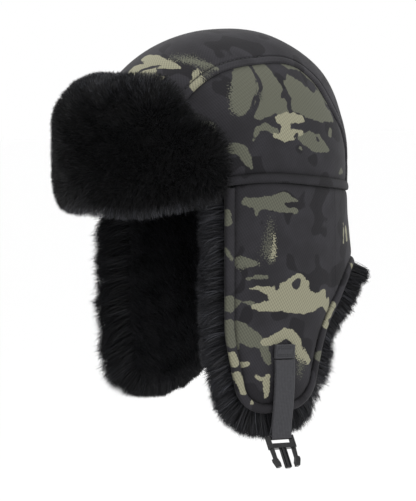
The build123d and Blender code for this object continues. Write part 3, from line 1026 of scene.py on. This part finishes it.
def strand_set(points, normals, comb, length, tuft, clump, spread, shades, vary=0.16, lighter=0.0):
    """Roots, tips and shades of strands gathered loosely into tufts."""
    count = len(points)
    direction = normed(normals + comb + rng.normal(size=(count, 3)) * spread)
    length = np.broadcast_to(length, count) * (1 + rng.normal(size=count) * vary * 0.6)
    length = np.clip(length, 2.0, None)
    cell = np.floor((points + rng.normal(size=(count, 3)) * clump * 0.12) / clump).astype(np.int64)
    _, group = np.unique(cell @ np.array([73856093, 19349663, 83492791]), return_inverse=True)
    group = group.ravel()
    groups = group.max() + 1

    def mean(values):
        """The mean of each tuft."""
        sums = [np.bincount(group, column, groups) for column in values.T]
        return np.stack(sums, -1) / np.bincount(group, minlength=groups)[:, None]

    heading = mean(direction)
    heading = normed(heading + rng.normal(size=heading.shape) * 0.16)
    reach = mean(length[:, None]) * rng.uniform(0.86, 1.12, (groups, 1))
    goal = (mean(points) + heading * reach)[group]
    tip = points + direction * length[:, None]
    tip = tip + (goal - tip) * tuft * rng.uniform(0.35, 0.75, count)[:, None]
    # lighter adds to the chance of a light strand; it carries painted highlight.
    chance = rng.random(count) * 0.75 + 0.25 * rng.random(groups)[group] + lighter
    shade = sum((chance >= limit).astype(int) for limit in np.asarray(shades).T)
    return points, tip, normals, shade


def strand_piece(name, strands, width=0.30):
    """One mesh of thin tapered ribbons: two four-sided faces and a pointed one for each strand."""
    root, tip, normal, shade = strands
    count = len(root)
    span = tip - root
    size = np.linalg.norm(span, axis=1, keepdims=True)
    arch = normal * size * 0.16 + rng.normal(size=(count, 3)) * size * 0.035
    face = np.cross(span, rng.normal(size=(count, 3)))
    face /= np.maximum(1e-6, np.linalg.norm(face, axis=1, keepdims=True))
    half = face * width * rng.uniform(0.7, 1.3, (count, 1)) * 0.5
    verts = np.zeros((count, 7, 3), dtype=np.float32)
    for j, t in enumerate(FUR_LEVELS):
        middle = root + span * t + arch * (4 * t * (1 - t)) - np.array([0, 0, 1.0]) * size * 0.05 * t * t
        if t < 1:
            verts[:, 2 * j] = middle - half * (1 - 0.55 * t)
            verts[:, 2 * j + 1] = middle + half * (1 - 0.55 * t)
        else:
            verts[:, 2 * j] = middle
    strand = np.arange(count)[:, None]
    loops = (strand * 7 + np.array([0, 1, 3, 2, 2, 3, 5, 4, 4, 5, 6])).ravel().astype(np.int32)
    starts = (strand * 11 + np.array([0, 4, 8])).ravel().astype(np.int32)
    mesh = bpy.data.meshes.new(name)
    mesh.vertices.add(count * 7)
    mesh.vertices.foreach_set("co", (verts * MM).ravel())
    mesh.loops.add(len(loops))
    mesh.loops.foreach_set("vertex_index", loops)
    mesh.polygons.add(len(starts))
    mesh.polygons.foreach_set("loop_start", starts)
    mesh.update(calc_edges=True)
    mesh.validate()
    mesh.polygons.foreach_set("material_index", np.repeat(shade, 3).astype(np.int32))
    return finish_piece(name, mesh, FUR)


# ---- skirt


def hem_line(grow):
    """The skirt's lower edge in (y, z), from the seam at the front to the middle of the nape."""
    above = 20.0
    knots = [(FLAP_FRONT, above), *(corner for corner, _ in HEM_CORNERS), (HALF_LENGTH + 20, NAPE_HEM)]
    knots = np.array(knots)
    points = [(FLAP_FRONT - grow, above)]
    for before, corner, after, (_, radius) in zip(knots, knots[1:], knots[2:], HEM_CORNERS):
        into, out_of = normed(corner - before), normed(after - corner)
        turn = math.atan2(into[0] * out_of[1] - into[1] * out_of[0], into @ out_of)
        bend = math.copysign(1, turn)
        left = np.array([-into[1], into[0]]) * bend
        centre = corner - into * radius * math.tan(abs(turn) / 2) + left * radius
        for angle in np.linspace(0, turn, 24):
            c, w = math.cos(angle), math.sin(angle)
            arm = np.array([-left[0] * c + left[1] * w, -left[0] * w - left[1] * c])
            points.append(tuple(centre + arm * (radius + bend * grow)))
    points.append((HALF_LENGTH, NAPE_HEM - grow))
    return spaced(points, 2.5)


def hem_arc(grow):
    """The same edge in (arc, z), carried on round the nape to the other side."""
    y, z = hem_line(grow).T
    left = np.stack([arc_of_y(y), z], -1)
    left = left[left[:, 0] < QUARTER - 0.5]
    return np.concatenate([left, left[::-1] * (-1, 1) + (2 * QUARTER, 0)])


ARC_CORNER = float(arc_of_y(CORNER_Y))
ARC_NAPE = float(arc_of_y(HALF_LENGTH * math.sqrt(1 - (NAPE_X / HALF_WIDTH) ** 2)))
STRETCHES = {
    "ear_flap": (float(arc_of_y(FLAP_FRONT)) - 40 + SLIT, ARC_CORNER - SLIT),
    "rear_corner": (ARC_CORNER + SLIT, ARC_NAPE - SLIT),
    "nape": (ARC_NAPE + SLIT, 2 * QUARTER - ARC_NAPE - SLIT),
}


def clipped(line, low, high):
    """The part of an (arc, z) line between two arcs, with points added at the cuts."""
    result = []
    for p, q in zip(line[:-1], line[1:]):
        for cut in sorted((low, high), key=lambda c: (c - p[0]) * (q[0] - p[0])):
            if (p[0] - cut) * (q[0] - cut) < 0:
                result.append(tuple(p + (cut - p[0]) / (q[0] - p[0]) * (q - p)))
        if low <= q[0] <= high:
            result.append(tuple(q))
    if low <= line[0][0] <= high:
        result.insert(0, tuple(line[0]))
    return np.array(result)


def hem_part(stretch, grow, gap):
    """The hem of one stretch in (arc, z), ending a gap below the crown seam."""
    hem = clipped(hem_arc(grow), *STRETCHES[stretch])
    return hem[hem[:, 1] < seam_height(y_of_arc(hem[:, 0])) - gap]


def stretch_outline(stretch, grow):
    """Closed outline of one stretch in (arc, z)."""
    gap = 0.2
    hem = hem_part(stretch, grow, gap)
    start, end = hem[0][0], hem[-1][0]
    arcs = np.linspace(end, start, max(3, int(abs(end - start) / 2)))
    return np.concatenate([hem, np.stack([arcs, seam_height(y_of_arc(arcs)) - gap], -1)])


# The binding's section: distance in from the hem, distance out of the wall, and its edge value: above 0 for
# wear on the rolled face, below 0 for painted shade where it tucks in and underneath.
BINDING_SECTION = (
    (7.3, -0.9, -0.9),
    (7.1, 0.35, -0.45),
    (6.5, 1.15, -0.1),
    (5.2, 1.75, 0.2),
    (3.6, 1.95, 0.3),
    (2.0, 1.7, 0.2),
    (0.8, 1.0, 0),
    (0.1, -0.3, -0.2),
    (-0.1, -2.5, -0.4),
    (0.3, -5.5, -0.5),
    (1.6, -6.8, -0.5),
    (6.0, -6.6, -0.5),
)


def skirt_cloth(stretch, side, suffix):
    flat, faces = triangulate(stretch_outline(stretch, 1.0 - BINDING), [], CLOTH_PITCH)
    a, z = flat.T
    to_hem = distance(flat, hem_arc(-BINDING)[::2])
    below = seam_height(y_of_arc(a)) - z
    lift = 0.9 - 2.2 * fade(to_hem, 2.6) - 1.6 * fade(below, 2.4)
    lift += 0.8 * ripple(a, z, 75, 21) * unit(to_hem / 25)
    lift += 0.20 * ripple(a, z, 14, 22) * fade(to_hem, 9)
    lift += 0.20 * ripple(a, z * 0.4, 12, 23) * fade(below, 14)
    # Painted shade along the bound hem and under the welt.
    edge = -0.8 * fade(to_hem, 1.3) - 0.95 * fade(np.maximum(0, below), 1.8)
    values = skirt_camo(a, z, "left" if stretch == "nape" else side, edge)
    return panel_piece(f"{stretch}_cloth{suffix}", flat, faces, wall_point, side, lift, PADDED_THICK, values)


def skirt_binding(stretch, side, suffix):
    hem = spaced(hem_part(stretch, 0, 0.1), 1.6)
    inward, out, edge = np.array(BINDING_SECTION).T
    at = hem[:, None] - beside(hem)[:, None] * inward[:, None]
    wave = 0.18 * ripple(*hem.T, 16, 31)[:, None] * (out > 0)
    verts = on_side(wall_point(at[..., 0], at[..., 1], out + wave).reshape(-1, 3), side)
    values = camo(at.reshape(-1, 2) + (1.5, -2.2), BINDING_OLIVE, BINDING_KHAKI, edge=np.tile(edge, len(hem)))
    return make_piece(f"{stretch}_bound_edge{suffix}", verts, tube_faces(len(hem), len(out)), CAMO, values)


def fringe_strands(stretch, side):
    """Fur that stands out past the bound edge."""
    pitch = 0.5
    hem = spaced(hem_part(stretch, -1.0, 4), pitch)
    outward = beside(hem)
    count = int(pitch * len(hem) * FRINGE_DENSITY)
    at = rng.random(count) * (len(hem) - 1)
    index = at.astype(int)
    share = (at - index)[:, None]
    flat, push = (line[index] * (1 - share) + line[index + 1] * share for line in (hem, outward))
    back = rng.random(count) * 7.0
    flat = flat - push * back[:, None]
    a, z = flat.T
    points = wall_point(a, z, -rng.uniform(7.2, 12.5, count))
    along, normal = wall_axes(a)
    heading = push[:, :1] * along
    heading[:, 2] += push[:, 1]
    y = y_of_arc(a)
    flare = unit((y - 42) / 42) * rear_share(y)
    high = flare * bell(z - NAPE_HEM, 16)
    lean = rng.normal(size=(count, 1)) * 0.13 + 0.12 + (0.95 * flare + 0.6 * high)[:, None]
    direction = heading + normal * lean
    comb = np.array([0, -0.05, -0.2]) + 0.16 * flow(points, 24, 61)
    comb[:, 2] += 0.45 * high
    # Painted highlight: the wearer's left fringe, on the near and lit side, gets far more light strands than
    # the right's; on the left, fewer towards the flared rear.
    if side == "left":
        length, calm, tuft = FRINGE_LENGTH[side] - 0.5 * high, 0.8, 0.75
        shades = np.array([0.12, 0.40, 0.82]) + 0.22 * flare[:, None]
    else:
        ahead = unit((FLAP_FRONT + 21 - y) / 15) * unit((-8 - z) / 25)
        corner = bell(z + 152, 24) * unit((-20 - y) / 15)
        length = FRINGE_LENGTH[side] - 6.0 * unit((y + 5) / 25) + 17.5 * ahead + 5.0 * corner
        calm, tuft, shades = 0.4, 0.5, (0.25, 0.7, 0.96)
    points, direction, comb = (on_side(part, side) for part in (points, direction, comb))
    gather = (tuft, FRINGE_CLUMP, 0.2 * calm)
    return strand_set(points, direction, comb * calm, length + back * 0.8, *gather, shades, 0.14 * calm)


def skirt_pieces(stretch, side):
    """Cloth, binding, fur backing, fringe and pile of one stretch."""
    suffix = "" if stretch == "nape" else f"_{side}"
    shell = skirt_cloth(stretch, side, suffix)
    declare(shell, None, "camouflage_shell", f"{stretch}_shell{suffix}", f"{stretch}_padding{suffix}")
    binding = skirt_binding(stretch, side, suffix)
    declare(binding, None, "camouflage_binding", f"{stretch}_binding{suffix}")

    flat, faces = triangulate(stretch_outline(stretch, -0.8), [], BACKING_PITCH)
    a, z = flat.T
    depth = -9.0 + 2.0 * fade(distance(flat, hem_arc(0)[::2]), 4) + 0.5 * ripple(a, z, 30, 41)
    outer, inner = (on_side(wall_point(a, z, out), side) for out in (BACKING_OUT, depth))
    backing = sheet_piece(f"{stretch}_fur_backing{suffix}", outer, inner, faces, BACKING)
    declare(backing, None, "black_fur", f"{stretch}_fur{suffix}")

    tips = strand_piece(f"{stretch}_fur_fringe{suffix}", fringe_strands(stretch, side), FRINGE_WIDTH)
    declare(tips, None, "black_fur")
    points, read = sample_surface(inner, faces, PILE_DENSITY)
    normal = on_side(-wall_axes(read(flat)[:, 0])[1], side)
    comb = np.array([0, -0.1, -0.55]) + 0.22 * flow(points, 30, 51)
    pile = strand_set(points, normal, comb, PILE_LENGTH, *PILE_GATHER, (0.2, 0.6, 0.93))
    fur = strand_piece(f"{stretch}_fur_pile{suffix}", pile)
    declare(fur, None, "black_fur")
    for piece in (shell, backing, binding, fur, tips):
        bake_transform(piece)


for stretch in ("ear_flap", "rear_corner"):
    for side in SIDES:
        skirt_pieces(stretch, side)
skirt_pieces("nape", "left")

# ---- front flap

FRONT_END = math.radians(63)
FRONT_ROWS = 56
FRONT_OUT = 25.5
FRONT_INSET = 7.5


def crown_radius(z):
    """Radius of the crown behind the turned-up flap, on the scale of its half width."""
    up = max(0.0, z - WALL_TOP) / (DOME + 5)
    return (HALF_WIDTH + 4.4) * math.sqrt(max(0.02, 1 - up * up)) + 0.55 * max(0.0, 2 - z)


def front_section(theta, shrink):
    """The turned-up flap's section at one angle round the crown: radius and height, from its inner foot."""
    x = (HALF_WIDTH + FRONT_OUT) * math.sin(abs(theta))
    top = np.interp(x, [0, 62, 73, 80, 88, 96, 102, 105], [90, 90, 84, 74, 61, 56, 50, 38]) - shrink * 0.9
    bottom = np.interp(x, [0, 60, 72, 100, 105], [-20, -20, -18, -9, -5]) + shrink * 0.9
    taper = math.sqrt(max(0.03, 1 - unit((abs(theta) - (FRONT_END - 0.15)) / 0.15) ** 2))
    middle = (top + bottom) / 2
    top, bottom = (middle + (end - middle) * (0.6 + 0.4 * taper) for end in (top, bottom))
    tall = top - bottom
    top_drop, low_rise = min(41.0 - shrink * 0.8, 0.56 * tall), min(32.0 - shrink * 0.4, 0.42 * tall)
    foot = crown_radius(0.0)
    outer = foot + (HALF_WIDTH + FRONT_OUT - shrink - foot) * taper
    top_depth = min(outer - crown_radius(top) - 1.5, 40.0 - shrink * 0.6)
    low_depth = min(outer - crown_radius(bottom) - 1.0, 24.0 - shrink * 0.4)
    s, c = np.sin(np.linspace(0, math.pi / 2, 10)), np.cos(np.linspace(0, math.pi / 2, 10))
    return np.array([
        (crown_radius(bottom), bottom),
        *zip(outer - low_depth * (1 - s), bottom + low_rise * (1 - c)),
        *zip(outer - top_depth * (1 - c), top - top_drop * (1 - s)),
        *((crown_radius(z), z) for z in np.linspace(top, bottom, 16)[:-1]),
    ])


def front_surface(columns):
    """The turned-up flap's closed surface, inset from its fur's tips."""
    verts = []
    for theta in np.linspace(-FRONT_END, FRONT_END, columns):
        section = front_section(theta, FRONT_INSET)
        loop = spaced(np.concatenate([section, section[:1]]), 1.0)
        at = np.linspace(0, len(loop) - 1, FRONT_ROWS, endpoint=False)
        radius, z = at_run(at, np.arange(len(loop)), loop).T
        y = -radius * HALF_LENGTH / HALF_WIDTH * math.cos(theta)
        verts.append(np.stack([radius * math.sin(theta), y, z], -1))
    return np.concatenate(verts), tube_faces(columns, FRONT_ROWS)


def front_fur():
    """Backing and strands of the turned-up flap."""
    verts, faces = front_surface(100)
    backing = make_piece("front_flap_fur_backing", verts + 0.72 * flow(verts, 60, 71), faces, BACKING)
    declare(backing, "front_flap", "black_fur", "front_flap_fur")
    normals = np.zeros(verts.size, dtype=np.float32)
    backing.data.vertices.foreach_get("normal", normals)
    points, read = sample_surface(verts, faces[:-2], FRONT_DENSITY)  # not on the two caps
    normal = read(normals.reshape(-1, 3).astype(float))
    x, y, z = points.T
    facing = (normal[:, 0] * x + normal[:, 1] * y) / np.maximum(1, np.hypot(x, y))
    keep = (facing > -0.55) | (np.hypot(x, y * HALF_WIDTH / HALF_LENGTH) > 90) & (facing > -0.8)
    points, normal = points[keep], normal[keep]
    x, y, z = points.T
    up = normal[:, 2]
    low = unit((6 - z) / 16)
    comb = 0.22 * flow(points, 30, 72)
    comb -= 0.45 * unit(up - 0.3)[:, None] * points * (1, 1, 0) / 100
    comb[:, 2] += np.clip((z - 34.0) / 60, -1, 1) * 0.22 - 0.35 * low
    # Painted highlight: more light strands on the downward-facing underside of the low roll, on the
    # upward-facing top at the front, and towards the wearer's right end.
    lighter = 0.4 * unit((-up - 0.2) / 0.6) * low
    lighter += 0.3 * unit((up - 0.35) / 0.5) * unit((-y - 60) / 40) + 0.32 * unit((-x - 48) / 36)
    for name, part in (("middle", np.abs(x) <= 42), ("left", x > 42), ("right", x < -42)):
        given, shades = (points[part], normal[part], comb[part]), (0.72, 0.93, 1.0)
        strands = strand_set(*given, FRONT_LENGTH, *PILE_GATHER, shades, lighter=lighter[part])
        declare(strand_piece(f"front_flap_fur_{name}", strands), "front_flap", "black_fur")


def front_cloth():
    """The flap's cloth, which lies against the crown while the flap is up."""
    columns, rows = 120, 34
    foot = 6
    angle = np.linspace(-math.radians(56), math.radians(56), columns)[:, None]
    top = np.interp((HALF_WIDTH + 4) * np.abs(np.sin(angle)), [0, 44, 94], [70, 70, 32])
    z = foot + (top - foot) * np.linspace(0, 1, rows)
    angle, z = points_of(angle, z).T
    k = np.sqrt(np.maximum(0.02, 1 - (np.maximum(0, z - WALL_TOP) / DOME) ** 2))
    u, v = angle * 100 + 30, z - 60
    swell = 0.3 * ripple(u, v, 40, 75)
    layers = (
        np.stack([(HALF_WIDTH * k + out) * np.sin(angle), -(HALF_LENGTH * k + out) * np.cos(angle), z], -1)
        for out in (3.9 + swell, 1.4 + swell * 0.5)
    )
    values = skirt_camo(u, v, "left", 0.0)
    shell = sheet_piece("front_flap_cloth", *layers, grid_faces(columns, rows), CAMO, values)
    declare(shell, "front_flap", "camouflage_shell", "front_flap_shell", "front_flap_stiffener")


front_fur()
front_cloth()

# ---- chin straps and buckles

LEAN = math.radians(4)
OUT = np.array([1.0, 0, 0])
ACROSS = np.array([0, math.cos(LEAN), -math.sin(LEAN)])
DOWN = np.array([0, -math.sin(LEAN), -math.cos(LEAN)])
STRAP_TOP = np.array([91.7, -0.8, -121.0])
TAPE = 1.15
INNER_LAYER = TAPE / 2 + 0.1
OUTER_LAYER = TAPE * 1.5 + 0.3
HALF_TAPE = 9.5
BAR_RADIUS = 1.58
SEWN_END = 11.0


def strap_point(out, down, across):
    """Places on a strap that hangs down the wearer's left ear flap."""
    out, down, across = (part[..., None] for part in np.broadcast_arrays(out, down, across))
    return STRAP_TOP + out * OUT + down * DOWN + across * ACROSS


def tape_loop(length, bar_out):
    """Middle line of the doubled tape in (out, down): outer layer, round the bar, inner layer."""
    radius = BAR_RADIUS + TAPE / 2
    layer = np.linspace(0, length - 10, 26)
    turn = np.linspace(0.25, -math.pi - 0.25, 14)
    return spaced(
        [
            *((OUTER_LAYER, s) for s in layer),
            *((bar_out + radius * math.cos(a), length + radius * math.sin(a)) for a in turn),
            *((INNER_LAYER, s) for s in layer[::-1]),
        ],
        1.2,
    )


def tape_piece(name, path, side, body, *nodes, wave=0.0):
    """Flat tape with soft edges along a path in (out, down)."""
    half = TAPE / 2
    flat = [0.9 - HALF_TAPE, *np.linspace(-7, 7, 9), HALF_TAPE - 0.9]
    ring = [(-HALF_TAPE, 0), (0.3 - HALF_TAPE, half * 0.8)]
    ring += [*((w, half) for w in flat), (HALF_TAPE - 0.3, half * 0.8)]
    w, t = np.array([*ring, *((-w, -t) for w, t in ring)]).T
    out, down = path.T[..., None]
    push_out, push_down = -beside(path).T[..., None]
    sway = wave * np.sin(down / 26.0) * np.minimum(1, down / 20)
    verts = on_side(strap_point(out + push_out * t, down + push_down * t, w + sway).reshape(-1, 3), side)
    cloth = points_of(w, run_along(path)[:, None], 0.0)
    piece = make_piece(name, verts, tube_faces(len(path), len(w)), WEBBING, {"cloth": cloth}, sharp=60)
    declare(piece, body, "webbing", *nodes)


def chin_strap(side, length, bar_out, wave):
    """One strap: the hanging tape, its two layers sewn to the ear flap, and the stitching."""
    path = tape_loop(length, bar_out)
    hanging = path[path[:, 1] >= SEWN_END]
    flap = f"ear_flap_{side}"
    tape_piece(f"chin_strap_tape_{side}", hanging, side, f"strap_{side}", f"chin_strap_{side}", wave=wave)
    outer_node = f"strap_sewn_end_{side}"
    for layer, out, nodes in (("inner", INNER_LAYER, ()), ("outer", OUTER_LAYER, (outer_node,))):
        sewn = np.array([(out, s) for s in np.linspace(0.2, SEWN_END - 0.1, 9)])
        tape_piece(f"strap_end_{layer}_{side}", sewn, side, flap, *nodes)
    w, box_top, box_foot = 7.6, 1.6, 9.4
    for label, corners in (
        ("box", [(-w, box_top), (w, box_top), (w, box_foot), (-w, box_foot), (-w, box_top)]),
        ("bar_upper", [(-w, 3.2), (w, 3.2)]),
        ("bar_lower", [(-w, 8.0), (w, 8.0)]),
    ):
        across, down = spaced(corners, 0.8).T
        line = on_side(strap_point(TAPE * 2 + 0.3, down, across), side)
        facing = on_side(np.tile(OUT, (len(line), 1)), side)
        stitches(f"strap_stitch_{label}_{side}", line, facing, flap, "webbing", 1.7, 0.5, 0.3)


chin_strap("left", 74.0, 1.3, 2.0)
chin_strap("right", 38.0, 4.2, 0.0)

for node in ("male_buckle", "latch_arm_front", "latch_arm_rear", "female_buckle"):
    materials = bpy.data.objects[node].data.materials
    for index in range(len(materials)):
        materials[index] = PLASTIC
    if not materials:
        materials.append(PLASTIC)
